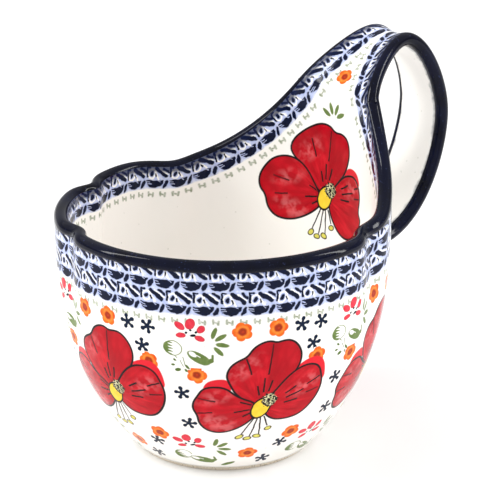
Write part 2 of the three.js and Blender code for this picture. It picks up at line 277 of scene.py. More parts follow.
cellMotifs = [  # kind, degrees round from the poppy, millimetres up the wall, turn in degrees
    ("orange", 4, 62.6, 0), ("orange", -8, 62.2, 40), ("orange", 19.5, 50.6, 20),
    ("orange", -23.5, 47.4, 65), ("orange", -2.5, 12.0, 10), ("orange", 16.5, 20.6, 50),
    ("star", 12.5, 62.6, 10), ("star", 20, 62.3, 45), ("star", 17.5, 55.6, 0),
    ("star", -29.3, 40.2, 30), ("star", -28.3, 27.6, 5), ("star", 13, 15.9, 60), ("star", 7, 7.4, 20),
    ("rose", -25.3, 62.3, 0), ("rose", -30.5, 17.8, 12), ("fan", -15, 58.6, -88), ("fan", -14.5, 15.4, -84),
    ("bud", -31.4, 56.2, 0), ("comma", -22.3, 53.4, 0), ("sprig", -29.0, 50.2, 0),
    ("bud", 24.5, 10.4, 10), ("comma", 34.5, 8.0, -6), ("leaf", -12, 5.6, 30),
]
insideMotifs = [("fan", 1.2, 98.6, -10), ("orange", 0.6, 110.8, 0)]
poppyTurns = [poppy["start"] + 360 / poppy["count"] * k for k in range(poppy["count"])]
outsidePoppies = [(turn, poppy["height"]) for turn in poppyTurns]
outsideMotifs = [(kind, start + turn, up, spin + 4 * k) for k, start in enumerate(poppyTurns)
                 for kind, turn, up, spin in cellMotifs]


def faceCorners(grid):  # the four corners of every cell of the grid, in the order its face uses
    return np.stack([grid[:-1, :-1], grid[:-1, 1:], grid[1:, 1:], grid[1:, :-1]], 2)


def fromPlaces(angle, up, radius, spots, sizesOut, sheet):  # corner places from the nearest spot
    turns, ups, radii = (faceCorners(grid) for grid in (np.degrees(angle), up, radius))
    spotTurn, spotUp = np.array([s[0] for s in spots]), np.array([s[1] for s in spots])
    middle = [grid.mean(-1) for grid in (turns, ups, radii)]
    gapTurn = (middle[0][..., None] - spotTurn + 180) % 360 - 180
    gap = np.hypot(np.radians(gapTurn) * middle[2][..., None], middle[1][..., None] - spotUp) - sizesOut
    best = gap.argmin(-1)
    across = np.radians((turns - spotTurn[best][..., None] + 180) % 360 - 180) * radii * sheet
    return across, ups - spotUp[best][..., None], best


def motifPlaces(angle, up, radius, motifs, sheet):  # turned into each motif's own x, y, and its kind
    reach = np.array([sizes[m[0]] for m in motifs])
    x, y, best = fromPlaces(angle, up, radius, [(m[1], m[2]) for m in motifs], reach, sheet)
    spin = np.radians(np.array([m[3] for m in motifs]))[best][..., None]
    kind = np.array([kinds[m[0]] for m in motifs], float)[best][..., None]
    return np.stack([x * np.cos(spin) + y * np.sin(spin), y * np.cos(spin) - x * np.sin(spin),
                     kind + 0 * x], -1)


def softened(outline):  # corners cut twice, each time at a quarter and three quarters of a side
    for _ in range(2):
        after = np.roll(outline, -1, axis=0)
        outline = np.stack([outline * 0.75 + after * 0.25, outline * 0.25 + after * 0.75], 1).reshape(-1, 2)
    return outline


def outlineDistance(spots, outline):  # distance to the outline, below zero inside it
    outline = softened(np.array(outline, float))
    after = np.roll(outline, -1, axis=0)
    side = after - outline
    away = spots[:, None, :] - outline
    share = np.clip((away * side).sum(-1) / (side ** 2).sum(-1), 0, 1)
    gap = np.linalg.norm(away - share[..., None] * side, axis=-1).min(1)
    spans = (outline[:, 1] > spots[:, None, 1]) != (after[:, 1] > spots[:, None, 1])
    crossing = outline[:, 0] + side[:, 0] * away[..., 1] / np.where(side[:, 1] == 0, 1e-9, side[:, 1])
    inside = (spans & (spots[:, None, 0] < crossing)).sum(1) % 2 == 1
    return np.where(inside, -gap, gap)


def petalDistances(x, y, names):  # distances to up to three outlines about the nearest poppy's eye
    spots = np.stack([x, y], -1).reshape(-1, 2)
    close = np.hypot(*spots.T) < poppy["reach"]
    found = np.full((len(spots), 3), poppy["beyond"])
    for column, name in enumerate(names):
        found[close, column] = outlineDistance(spots[close], poppy[name])
    return found.reshape(x.shape + (3,))


def paintMaps(angle, up, radius, poppies, motifs, sheet):  # sheet is 1 outside the cup, -1 inside
    x, y, best = fromPlaces(angle, up, radius, poppies, 0, sheet)
    return {
        "bloom": np.stack([x, y, best[..., None] + 0 * x], -1),
        "petals": petalDistances(x, y, petalNames[sheet]),
        "lobes": petalDistances(x, y, lobeNames[sheet]),
        "motif": motifPlaces(angle, up, radius, motifs, sheet),
    }


# Meshes from patches of grid

def patch(points, smooth=True, flip=False, maps=None):  # one grid of points, and the maps on its corners
    return {"points": points, "smooth": smooth, "flip": flip, "maps": maps or {}}


def weld(mesh):  # joins the patches where their edges meet
    work = bmesh.new()
    work.from_mesh(mesh)
    bmesh.ops.remove_doubles(work, verts=work.verts, dist=2e-7)
    bmesh.ops.dissolve_degenerate(work, edges=work.edges, dist=1e-8)
    work.to_mesh(mesh)
    work.free()
    mesh.update()


def meshPiece(name, patches, glaze, node):  # one closed mesh of quads, moved to the cup's axis
    points, faces, smooth, first = [], [], [], 0
    mapNames = sorted({key for item in patches for key in item["maps"]})
    corners = {key: [] for key in mapNames}
    for item in patches:
        rows, columns = item["points"].shape[:2]
        index = first + np.arange(rows * columns).reshape(rows, columns)
        quads = faceCorners(index).reshape(-1, 4)
        order = slice(None, None, -1) if item["flip"] else slice(None)
        points.append(item["points"].reshape(-1, 3))
        faces.append(quads[:, order])
        smooth.append(np.full(len(quads), item["smooth"]))
        for key in mapNames:
            values = item["maps"].get(key, np.full((len(quads), 4, 3), unrolled["faraway"]))
            corners[key].append(values.reshape(-1, 4, 3)[:, order])
        first += rows * columns
    places = (np.concatenate(points) + [axisX, 0, 0]) * mm
    mesh = bpy.data.meshes.new(name)
    mesh.from_pydata(places.tolist(), [], np.concatenate(faces).tolist())
    mesh.polygons.foreach_set("use_smooth", np.concatenate(smooth))
    for key in mapNames:
        layer = mesh.attributes.new(key, "FLOAT_VECTOR", "CORNER")
        layer.data.foreach_set("vector", np.concatenate(corners[key]).astype(np.float32).ravel())
    piece = bpy.data.objects.new(name, mesh)
    bpy.context.collection.objects.link(piece)
    mesh.materials.append(glaze.material)
    weld(mesh)
    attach(piece, "root")
    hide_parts(node)
    print(name, len(mesh.polygons), "faces")
    return piece


# Shader tools

def paint(red, green, blue):  # a screen colour as light: ((c + 0.055) / 1.055) to the power 2.4
    levels = np.array([red, green, blue]) / 255
    light = np.where(levels > 0.04045, ((levels + 0.055) / 1.055) ** 2.4, levels / 12.92)
    return tuple(light) + (1.0,)


# One output socket: Python's operators on it add Math nodes
class Wire:
    def __init__(self, glaze, socket):
        self.glaze, self.socket = glaze, socket

    def __add__(self, other):
        return self.glaze.maths("ADD", self, other)

    def __radd__(self, other):
        return self.glaze.maths("ADD", other, self)

    def __sub__(self, other):
        return self.glaze.maths("SUBTRACT", self, other)

    def __rsub__(self, other):
        return self.glaze.maths("SUBTRACT", other, self)

    def __mul__(self, other):
        return self.glaze.maths("MULTIPLY", self, other)

    def __rmul__(self, other):
        return self.glaze.maths("MULTIPLY", other, self)

    def __truediv__(self, other):
        return self.glaze.maths("DIVIDE", self, other)

    def __rtruediv__(self, other):
        return self.glaze.maths("DIVIDE", other, self)

    def __mod__(self, other):
        return self.glaze.maths("FLOORED_MODULO", self, other)

    def __neg__(self):
        return self.glaze.maths("MULTIPLY", self, -1.0)

    def __abs__(self):
        return self.glaze.maths("ABSOLUTE", self)


# A material, and the few ways that its nodes are made
class Glaze:
    def __init__(self, name):
        self.slot = name
        self.material = bpy.data.materials.new(name)
        self.material.use_nodes = True
        self.tree = self.material.node_tree
        self.tree.nodes.clear()

    def node(self, kind, settings=None, values=None, output=0):
        made = self.tree.nodes.new(kind)
        for key, value in (settings or {}).items():
            setattr(made, key, value)
        for key, value in (values or {}).items():
            if isinstance(value, Wire):
                self.tree.links.new(value.socket, made.inputs[key])
            else:
                made.inputs[key].default_value = value
        return Wire(self, made.outputs[output]) if len(made.outputs) else made

    def maths(self, operation, *values, clamp=False):
        settings = {"operation": operation, "use_clamp": clamp}
        return self.node("ShaderNodeMath", settings, dict(enumerate(values)))

    def vectors(self, operation, *values, output=0):
        return self.node("ShaderNodeVectorMath", {"operation": operation}, dict(enumerate(values)), output)

    def lower(self, first, *others):
        for other in others:
            first = self.maths("MINIMUM", first, other)
        return first

    def higher(self, first, *others):
        for other in others:
            first = self.maths("MAXIMUM", first, other)
        return first

    def scaled(self, value, factor, added):  # value times factor plus added, kept between 0 and 1
        return self.maths("MULTIPLY_ADD", value, factor, added, clamp=True)

    def filled(self, distance, softness):  # 1 where the distance is below zero, soft at the edge
        return self.scaled(distance, -1 / softness, 0.5)

    def lined(self, distance, half, softness=0.2):  # a line of the given half width along distance zero
        return self.filled(abs(distance) - half, softness)

    def blend(self, share, below, above):
        settings = {"data_type": "RGBA", "clamp_factor": True}
        return self.node("ShaderNodeMix", settings, {0: share, 6: below, 7: above}, 2)

    def attribute(self, name):
        return self.node("ShaderNodeAttribute", {"attribute_name": name}, output=1)

    def parts(self, vector):
        split = self.node("ShaderNodeSeparateXYZ", None, {0: vector})
        return [Wire(self, socket) for socket in split.socket.node.outputs]

    def joined(self, x, y):
        return self.node("ShaderNodeCombineXYZ", None, {0: x, 1: y})

    def noise(self, vector, scale, detail=2.0, rough=0.5, output=0):
        values = {"Vector": vector, "Scale": scale, "Detail": detail, "Roughness": rough}
        return self.node("ShaderNodeTexNoise", None, values, output)

    def jitter(self, vector, scale, detail, size):  # a noise vector about zero, times its size each way
        middle = self.vectors("SUBTRACT", self.noise(vector, scale, detail, 0.5, 1), (0.5, 0.5, 0.5))
        return self.vectors("MULTIPLY", middle, (*size, 0))

    def placed(self, spot, x, y, tilt=0.0, wide=1.0, high=1.0):  # moved, turned and sized to one shape
        values = {"Vector": spot, "Location": (x, y, 0), "Rotation": (0, 0, math.radians(tilt)),
                  "Scale": (wide, high, 1)}
        return self.node("ShaderNodeMapping", {"vector_type": "TEXTURE"}, values)

    def oval(self, spot, x, y, wide, high, tilt=0.0):  # distance to an ellipse, scaled by its short side
        length = self.vectors("LENGTH", self.placed(spot, x, y, tilt, wide, high), output=1)
        return self.maths("MULTIPLY_ADD", length, min(wide, high), -min(wide, high))

    def stroke(self, spot, start, end, half):  # distance to a round-ended straight stroke
        dx, dy = end[0] - start[0], end[1] - start[1]
        middle = ((start[0] + end[0]) / 2, (start[1] + end[1]) / 2)
        turned = self.placed(spot, *middle, math.degrees(math.atan2(dy, dx)))
        beyond = self.vectors("SUBTRACT", self.vectors("ABSOLUTE", turned), (math.hypot(dx, dy) / 2, 0, 0))
        return self.vectors("LENGTH", self.vectors("MAXIMUM", beyond, (0, 0, 0)), output=1) - half

    def ovals(self, spot, rows):  # the nearest of several ovals
        return self.lower(*(self.oval(spot, *row) for row in rows))

    def strokes(self, spot, rows):  # the nearest of several strokes
        return self.lower(*(self.stroke(spot, *row) for row in rows))

    def folded(self, spot, count):  # the plane folded into one of `count` equal wedges, about +x
        x, y, _ = self.parts(spot)
        radius = self.vectors("LENGTH", self.joined(x, y), output=1)
        turn = self.maths("PINGPONG", self.maths("ARCTAN2", y, x), math.pi / count)
        return self.joined(radius * self.maths("COSINE", turn), radius * self.maths("SINE", turn)), radius

    def bump(self, height, strength, distance):
        values = {"Strength": strength, "Distance": distance, "Height": height}
        return self.node("ShaderNodeBump", None, values)

    def surface(self, colour, roughness, normal, specular=0.5):
        values = {"Base Color": colour, "Roughness": roughness, "Normal": normal, "IOR": 1.5,
                  "Specular IOR Level": specular}
        shader = self.node("ShaderNodeBsdfPrincipled", None, values)
        self.node("ShaderNodeOutputMaterial", None, {0: shader})
        return self


colours = {
    "glaze": paint(250, 248, 243), "glazeWarm": paint(244, 239, 232), "navy": paint(6, 20, 58),
    "navyDeep": paint(2, 8, 28), "starBlue": paint(2, 22, 48), "cobalt": paint(9, 15, 44),
    "cobaltDeep": paint(2, 2, 9), "wash": paint(184, 197, 235), "washDeep": paint(104, 122, 190),
    "olive": paint(82, 106, 46), "oliveLight": paint(116, 136, 76), "red": paint(204, 10, 30),
    "redDeep": paint(156, 4, 20), "redLight": paint(224, 36, 50), "pink": paint(248, 150, 152),
    "ink": paint(22, 14, 18), "yellow": paint(250, 216, 62), "yellowDeep": paint(226, 178, 44),
    "pollen": paint(216, 208, 98), "cream": paint(232, 226, 180), "orange": paint(240, 112, 24),
    "orangeDeep": paint(214, 62, 20), "orangePale": paint(250, 164, 66), "brown": paint(142, 34, 16),
    "rose": paint(206, 24, 48), "roseLight": paint(232, 74, 90), "clay": paint(222, 212, 194),
    "clayDark": paint(204, 190, 170), "clayGrain": paint(120, 104, 88),
}
gloss = {
    "rough": 0.06, "roughSpread": 0.10, "ripple": 0.35, "rimRipple": 0.45, "depth": 0.0006,
    "paintedShine": 0.13, "plainShine": 0.2, "bleedDepth": 2.2, "bleedEnd": 3.3, "bleedSoft": 1.2,
}


def glazeSurface(glaze, strength):  # slow ripples and fine orange peel
    place = glaze.node("ShaderNodeTexCoord", output=3)
    height = glaze.noise(place, 55, 1.0) * 0.9 + glaze.noise(place, 900) * 0.06
    rough = glaze.noise(place, 160, 3.0) * gloss["roughSpread"] + gloss["rough"]
    return place, rough, glaze.bump(height, strength, gloss["depth"])


def whiteGlaze(glaze, place):  # warm white with faint cloudiness and a few iron specks
    cloud = glaze.noise(place, 38, 3.0)
    specks = glaze.node("ShaderNodeTexVoronoi", None, {"Vector": place, "Scale": 260.0})
    ground = glaze.blend(cloud * 0.5, colours["glaze"], colours["glazeWarm"])
    return glaze.blend(glaze.filled(specks - 0.07, 0.04) * 0.18, ground, colours["olive"])


# Stamped border. An oval is x, y, half width, half height and tilt; a stroke is start, end, half width
border = {
    "start": 1.3, "high": 7.7, "pitch": 8.0, "stagger": 0.42, "drift": (1.3, 1.1),
    "boat": (-0.9, -1.0, 3.0, 2.55, 3), "boatTop": -0.75,
    "nicks": [((-4.2, -1.2), (-2.6, -1.55), 0.13), ((-3.9, -2.1), (-2.2, -2.15), 0.12),
              ((0.2, -0.7), (1.0, -1.3), 0.12)],
    "drops": [(2.85, -2.2, 1.55, 0.66, 62), (-1.95, 1.35, 0.95, 0.62, 65)],
    "bands": [((-3.55, 0.5), (-3.55, 3.3), 0.36), ((-3.5, 3.45), (-2.5, 3.4), 0.3),
              ((-0.6, 1.4), (-0.35, 0.5), 0.24), ((-0.5, 3.2), (2.9, 0.6), 0.66),
              ((2.1, 3.4), (3.9, 2.1), 0.42)],
    "bud": (-1.95, 1.35, 1.55, 1.25, 70), "budLine": 0.24,
    "curls": [((-1.0, 2.4), (0.5, -0.3), 0.3), ((0.9, 3.2), (3.6, 1.2), 0.22)],
    "ringGap": 1.8, "ringPitch": 4.0,
    "ringMark": [((-0.85, -0.35), (-0.75, 0.7), 0.34), ((0.8, -0.7), (0.7, 0.4), 0.34),
                 ((-0.6, 0.25), (0.6, -0.15), 0.27)],
}


def paintStamps(glaze, ground):  # rows of one stamp along the rim, and a ring of olive marks below them
    along, below, rows = glaze.parts(glaze.attribute("rimward"))
    start, high, pitch = border["start"], border["high"], border["pitch"]
    bordered = glaze.maths("GREATER_THAN", rows, 0.5)
    row = glaze.maths("FLOOR", (below - start) / high)
    inSecond = glaze.maths("COMPARE", row, 1.0, 0.5) * glaze.maths("GREATER_THAN", rows, 1.5)
    present = glaze.higher(glaze.maths("COMPARE", row, 0.0, 0.5), inSecond) * bordered
    x = pitch / 2 - (along + row * (pitch * border["stagger"])) % pitch
    y = row * high - below + (start + high / 2)
    sheet = glaze.joined(along, below)
    drift = glaze.jitter(sheet, 0.5, 2.0, border["drift"])
    spot = glaze.vectors("ADD", glaze.joined(x, y), drift)
    # The navy parts: a notched boat-shaped leaf, two drops, and a bracket with slanting bands
    boat = glaze.higher(glaze.oval(spot, *border["boat"]), glaze.parts(spot)[1] - border["boatTop"],
                        -glaze.strokes(spot, border["nicks"]))
    blue = glaze.lower(boat, glaze.ovals(spot, border["drops"]), glaze.strokes(spot, border["bands"]))
    white = glaze.lower(abs(glaze.oval(spot, *border["bud"])) - border["budLine"],
                        glaze.strokes(spot, border["curls"]))
    # Lavender wash, darker beside the navy, with the white curls left open in it
    patchy = glaze.noise(sheet, 0.9, 3.0, 0.6)
    lastRow = glaze.filled(below - (rows * high + (start - 0.3)), 0.9)
    washed = glaze.blend(lastRow * present * (patchy * 1.6 - 0.05), ground, colours["wash"])
    washed = glaze.blend(glaze.filled(blue, 1.7) * present * 0.7, washed, colours["washDeep"])
    washed = glaze.blend(glaze.filled(white, 0.2) * present * 0.95, washed, colours["glaze"])
    navy = glaze.blend(patchy * 1.2 - 0.25, colours["navyDeep"], colours["navy"])
    stamped = glaze.blend(glaze.filled(blue + (patchy - 0.5) * 0.3, 0.18) * present, washed, navy)
    step = (along + glaze.parts(drift)[0] * 0.385) % border["ringPitch"] - border["ringPitch"] / 2
    mark = glaze.joined(step, below - (rows * high + (start + border["ringGap"])))
    faint = glaze.filled(glaze.strokes(mark, border["ringMark"]), 0.35) * (patchy * 1.1 + 0.1) * bordered
    return glaze.blend(faint, stamped, colours["olive"])


# Small motifs, as ovals and strokes in millimetres about each motif's middle
motifShapes = {
    "starArm": ((0, 0), (1.7, 0), 0.46), "starEnd": (1.85, 0, 0.72, 0.68),
    "orangeLobe": (1.75, 0, 1.4, 1.5), "orangeHeart": (0.5, 0, 0.75, 0.9),
    "orangeDot": (0.1, -0.1, 0.4, 0.35),
    "rosePetals": [(0.1, 2.3, 1.8, 1.45, 65), (3.35, 0.7, 1.45, 1.1, 50), (2.9, -2.3, 1.6, 0.9, -18),
                   (-3.1, 1.5, 1.75, 1.1, -35), (-2.75, -1.5, 1.5, 0.85, 4)],
    "roseDots": [(0.2, 0.3, 0.42, 0.36), (1.9, -0.3, 0.5, 0.36, 40), (-1.1, -0.6, 0.42, 0.38),
                 (0.9, -1.4, 0.95, 0.42, 10)],
    "fanLeaf": (3.6, 0, 2.0, 0.74), "fanDrop": 3.2,
    "bulb": (0, 0, 2.8, 2.4, -8), "bulbStem": ((0.3, -2.3), (1.2, -3.2), 0.14),
    "comma": (-0.2, 0, 3.8, 1.75, -30), "commaWindow": (-2.0, 1.15, 1.3, 0.72, -36),
    "commaVein": ((-0.9, 0.9), (0.2, 0.2), 0.14),
    "commaTail": [((2.4, -1.3), (3.5, -0.8), 0.75), ((3.8, -0.6), (3.95, 1.0), 0.36)],
    "sprigLeaves": [(-1.8, 2.1, 0.75, 0.36, -40), (-2.3, 0.3, 0.6, 0.36), (-0.8, -1.3, 0.95, 0.62, 20),
                    (1.7, -1.6, 0.8, 0.42, -60), (2.1, -0.2, 0.95, 0.42, -50)],
    "sprigStems": [((0.9, 3.2), (1.5, 0.2), 0.12), ((0.0, 1.9), (0.9, 0.0), 0.11)],
    "leaf": (0, 0, 2.3, 0.8),
}


def paintMotifs(glaze, ground, wobble):  # the motif nearest to each place, drawn about its own middle
    local = glaze.attribute("motif")
    kind = glaze.parts(local)[2]
    spot = glaze.vectors("ADD", glaze.vectors("MULTIPLY", local, (1, 1, 0)), wobble)
    five, radius = glaze.folded(spot, 5)
    x, y, _ = glaze.parts(spot)
    streaks = glaze.noise(spot, 0.6, 3.0)
    shapes = motifShapes

    def inked(name, distance, softness=0.15):  # a shape's fill, where this kind of motif is the nearest
        isKind = glaze.maths("COMPARE", kind, float(kinds[name]), 0.5)
        return glaze.filled(distance, softness) * isKind

    # Asterisk of five club-ended arms
    arms = glaze.lower(glaze.stroke(five, *shapes["starArm"]), glaze.oval(five, *shapes["starEnd"]))
    colour = glaze.blend(inked("star", arms), ground, colours["starBlue"])
    # Small orange flower: five soft lobes round a red-brown heart
    orange = inked("orange", glaze.lower(glaze.oval(five, *shapes["orangeLobe"]), radius - 2.1), 0.2)
    tone = glaze.blend(streaks * 2.2 - 0.75, colours["orange"], colours["orangeDeep"])
    colour = glaze.blend(orange, colour, tone)
    pale = glaze.lined(radius - 1.75, 0.35, 0.7) * orange
    colour = glaze.blend(pale * (1.1 - streaks * 1.2), colour, colours["orangePale"])
    heart = glaze.filled(glaze.lower(glaze.oval(five, *shapes["orangeHeart"]), radius - 0.9), 0.5)
    colour = glaze.blend(heart * orange * 0.9, colour, colours["brown"])
    dot = glaze.filled(glaze.oval(spot, *shapes["orangeDot"]), 0.4)
    colour = glaze.blend(dot * orange * 0.5, colour, colours["orangeDeep"])
    # Rose-red flower: five loose petals of different sizes round navy dots
    petals = glaze.ovals(spot, shapes["rosePetals"])
    rose = inked("rose", petals)
    tone = glaze.blend(streaks * 1.5 - 0.3, colours["rose"], colours["roseLight"])
    colour = glaze.blend(rose, colour, tone)
    colour = glaze.blend(glaze.lined(petals, 0.12, 0.15) * rose * 0.7, colour, colours["redDeep"])
    dots = glaze.ovals(spot, shapes["roseDots"])
    colour = glaze.blend(inked("rose", dots), colour, colours["navyDeep"])
    # Fan of four olive leaves, kept from a ring of nine by a slanting cut
    ninth, _ = glaze.folded(glaze.vectors("ADD", spot, (0, shapes["fanDrop"], 0)), 9)
    cut = 0.15 - (y + shapes["fanDrop"] - x * 0.18)
    olive = glaze.blend(streaks * 1.6 - 0.3, colours["olive"], colours["oliveLight"])
    fan = glaze.higher(glaze.oval(ninth, *shapes["fanLeaf"]), cut)
    colour = glaze.blend(inked("fan", fan), colour, olive)
    # Bud: an outlined oval, solid at its left and hatched towards the right
    bulb = glaze.oval(spot, *shapes["bulb"])
    hatch = glaze.maths("SINE", (y + x * 0.25) * 6.5) * 0.8
    bud = glaze.lower(glaze.higher(bulb, x + 0.6 + hatch), abs(bulb) - 0.13,
                      glaze.stroke(spot, *shapes["bulbStem"]))
    colour = glaze.blend(inked("bud", bud, 0.18), colour, olive)
    # Comma leaf with a pale window and a hooked tail
    window = glaze.lower(glaze.oval(spot, *shapes["commaWindow"]), glaze.stroke(spot, *shapes["commaVein"]))
    comma = glaze.lower(glaze.higher(glaze.oval(spot, *shapes["comma"]), -window),
                        glaze.strokes(spot, shapes["commaTail"]))
    colour = glaze.blend(inked("comma", comma, 0.18), colour, olive)
    # Sprig of small leaves on two thin stems, and a single leaf
    sprig = glaze.lower(glaze.ovals(spot, shapes["sprigLeaves"]), glaze.strokes(spot, shapes["sprigStems"]))
    colour = glaze.blend(inked("sprig", sprig), colour, colours["olive"])
    return glaze.blend(inked("leaf", glaze.oval(spot, *shapes["leaf"])), colour, olive)


# Ink and pollen of a poppy: a line is its degrees round the yellow eye, and where it starts and stops
poppyInk = {
    "petals": [(102.6, 5.0, 8.8), (89, 6.0, 11.3), (75, 6.2, 10.6), (158, 3.4, 7.2), (190, 3.6, 8.4),
               (212, 3.9, 6.6), (32, 8.4, 12.6), (19.5, 8.0, 14.2), (6.5, 7.0, 11.6)],
    "creases": [(107, 13.5, 19.8), (84, 12.5, 23.0), (168, 14.5, 20.4), (186, 14.8, 19.4),
                (24, 15.6, 21.2), (12, 14.6, 19.2)],
    "stamens": [(247, 4.6, 12.8), (260, 4.4, 13.2), (272.5, 4.2, 12.4), (288, 4.2, 9.0)],
    "lineReach": 5.5, "longest": 25.0, "outline": 0.34,
    "anthers": [(-5.4, -13.0, 1.25, 0.85, 40), (-2.9, -14.0, 1.2, 0.8, 10),
                (0.0, -13.2, 1.2, 0.85, -15), (3.1, -9.8, 1.1, 0.85, 20)],
    "glints": [(-12.6, -6.2, 6.0, 2.6, -25), (-6.5, 15.0, 5.2, 2.4, 40), (14.0, 6.5, 5.0, 2.2, 35),
               (-14.5, 4.5, 4.0, 1.8, 20)],
    "eye": (-0.2, -0.4, 2.8, 4.2, -20), "speckled": (2.3, 2.7, 2.7, 2.9, -20),
}


def radialLines(glaze, turn, radius, lines, half):  # a ramp round the eye holds nearness, start and end
    reach, longest = poppyInk["lineReach"] / 360, poppyInk["longest"]
    ramp = glaze.node("ShaderNodeValToRGB", None, {0: turn}).socket.node
    stops = ramp.color_ramp.elements
    wanted = []
    for angle, start, end in sorted(lines):
        for step, near in ((-reach, 0.0), (0, 1.0), (reach, 0.0)):
            wanted.append((angle / 360 + step, (near, start / longest, end / longest, 1)))
    while len(stops) < len(wanted):
        stops.new(1.0)
    for stop, (position, value) in zip(stops, wanted):
        stop.position, stop.color = position, value
    split = glaze.node("ShaderNodeSeparateColor", None, {0: Wire(glaze, ramp.outputs[0])})
    near, start, end = (Wire(glaze, socket) for socket in split.socket.node.outputs)
    aside = (1 - near) * radius * (2 * math.pi * reach) - half
    return glaze.higher(aside, start * longest - radius, radius - end * longest)


def paintPoppies(glaze, ground, wobble):  # petals from their outlines' distances, the rest about the eye
    local = glaze.attribute("bloom")
    spot = glaze.vectors("ADD", glaze.vectors("MULTIPLY", local, (1, 1, 0)), wobble)
    x, y, _ = glaze.parts(spot)
    radius = glaze.vectors("LENGTH", spot, output=1)
    turn = (glaze.maths("ARCTAN2", y, x) / (2 * math.pi)) % 1.0
    left, top, right = glaze.parts(glaze.attribute("petals"))
    behind, beside, _ = glaze.parts(glaze.attribute("lobes"))
    petals = glaze.lower(left, top, right)
    # Brush marks run out from the eye, lighter in pools, with wiped pink glints
    fibres = glaze.noise(glaze.joined(turn * 34, radius * 0.12), 1.0)
    inner = glaze.filled(1.0 - abs(petals), 2.4)
    red = glaze.blend(fibres * 1.7 - 0.4, colours["redDeep"], colours["red"])
    light = glaze.scaled(glaze.noise(spot, 0.14, 1.0) * fibres, 6.0, -1.5)
    red = glaze.blend(light * inner * 0.4, red, colours["redLight"])
    wiped = glaze.scaled(glaze.noise(spot, 0.3), 6.0, -2.6)
    glint = glaze.filled(glaze.ovals(spot, poppyInk["glints"]), 3.4) * wiped
    red = glaze.blend(glint * 0.36, red, colours["pink"])
    shaded = glaze.blend(0.55, red, colours["redDeep"])
    topRed = glaze.blend(glaze.filled(2.0 - x, 1.0) * 0.7, red, shaded)
    bright = glaze.blend(fibres * 0.6, colours["redLight"], colours["red"])
    colour = glaze.blend(glaze.filled(glaze.lower(behind, beside), 0.3), ground, bright)
    for distance, fill in ((top, topRed), (right, red), (left, red)):
        colour = glaze.blend(glaze.filled(distance, 0.2), colour, fill)
        colour = glaze.blend(glaze.lined(distance, poppyInk["outline"]), colour, colours["ink"])
    onPetals = petals + 0.5
    ink = glaze.lower(glaze.higher(radialLines(glaze, turn, radius, poppyInk["petals"], 0.29), onPetals),
                      glaze.higher(radialLines(glaze, turn, radius, poppyInk["creases"], 0.27), onPetals),
                      radialLines(glaze, turn, radius, poppyInk["stamens"], 0.25))
    colour = glaze.blend(glaze.filled(ink, 0.2), colour, colours["ink"])
    # Anthers, then the eye with its speckled side
    anthers = glaze.ovals(spot, poppyInk["anthers"])
    colour = glaze.blend(glaze.filled(anthers, 0.2), colour, colours["pollen"])
    colour = glaze.blend(glaze.lined(anthers, 0.16), colour, colours["ink"])
    eye = glaze.oval(spot, *poppyInk["eye"])
    ochre = glaze.blend(glaze.noise(spot, 0.5, 3.0) * 1.3 - 0.3, colours["yellow"], colours["yellowDeep"])
    colour = glaze.blend(glaze.filled(eye, 0.2), colour, ochre)
    colour = glaze.blend(glaze.lined(eye, 0.27), colour, colours["ink"])
    grains = glaze.noise(spot, 1.25)
    grained = glaze.blend(glaze.filled(grains - 0.52, 0.05), colours["cream"], colours["ink"])
    grained = glaze.blend(glaze.filled(0.6 - grains, 0.05), grained, colours["olive"])
    speckled = glaze.oval(spot, *poppyInk["speckled"]) + grains * 3.4 - 1.5
    return glaze.blend(glaze.filled(speckled, 0.2), colour, grained)


def paintedGlaze():  # white, then stamps, motifs and poppies, and cobalt that runs down from the rim
    glaze = Glaze("painted_glaze")
    place, rough, bump = glazeSurface(glaze, gloss["ripple"])
    wobble = glaze.jitter(place, 420, 2.0, (0.5, 0.5))
    stamped = paintStamps(glaze, whiteGlaze(glaze, place))
    colour = paintPoppies(glaze, paintMotifs(glaze, stamped, wobble), wobble)
    below = glaze.parts(glaze.attribute("rimward"))[1]
    ragged = below + (glaze.noise(place, 330, 3.0) - 0.5) * gloss["bleedDepth"]
    run = glaze.scaled(ragged, -1 / gloss["bleedSoft"], gloss["bleedEnd"])
    colour = glaze.blend(run * 0.85, colour, colours["navy"])
    return glaze.surface(colour, rough, bump, gloss["paintedShine"])


def plainGlaze():
    glaze = Glaze("plain_glaze")
    place, rough, bump = glazeSurface(glaze, gloss["ripple"])
    return glaze.surface(whiteGlaze(glaze, place), rough, bump, gloss["plainShine"])


def cobaltGlaze():  # near black where thick, breaking to blue and violet grey where it thins
    glaze = Glaze("cobalt_glaze")
    place, rough, bump = glazeSurface(glaze, gloss["rimRipple"])
    colour = glaze.blend(glaze.noise(place, 90, 3.0) * 1.5 - 0.4, colours["cobaltDeep"], colours["cobalt"])
    specks = glaze.filled(0.7 - glaze.noise(place, 1300), 0.1)
    colour = glaze.blend(specks * 0.12, colour, colours["washDeep"])
    return glaze.surface(colour, rough * 0.8, bump, gloss["paintedShine"])


def bareClay():  # unglazed grey-buff stoneware, rubbed smooth, with dark and pale grains
    glaze = Glaze("bare_clay")
    place = glaze.node("ShaderNodeTexCoord", output=3)
    grains = glaze.noise(place, 1800, 3.0)
    cloud = glaze.noise(place, 120, 3.0)
    colour = glaze.blend(cloud, colours["clay"], colours["clayDark"])
    colour = glaze.blend(glaze.filled(0.62 - grains, 0.06) * 0.5, colour, colours["clayGrain"])
    return glaze.surface(colour, 0.72 + cloud * 0.15, glaze.bump(grains, 0.5, 0.0003))


painted, plain, cobalt, clay = paintedGlaze(), plainGlaze(), cobaltGlaze(), bareClay()
print("glazes mixed:", len(painted.tree.nodes), "nodes in the painted one")

# The cup

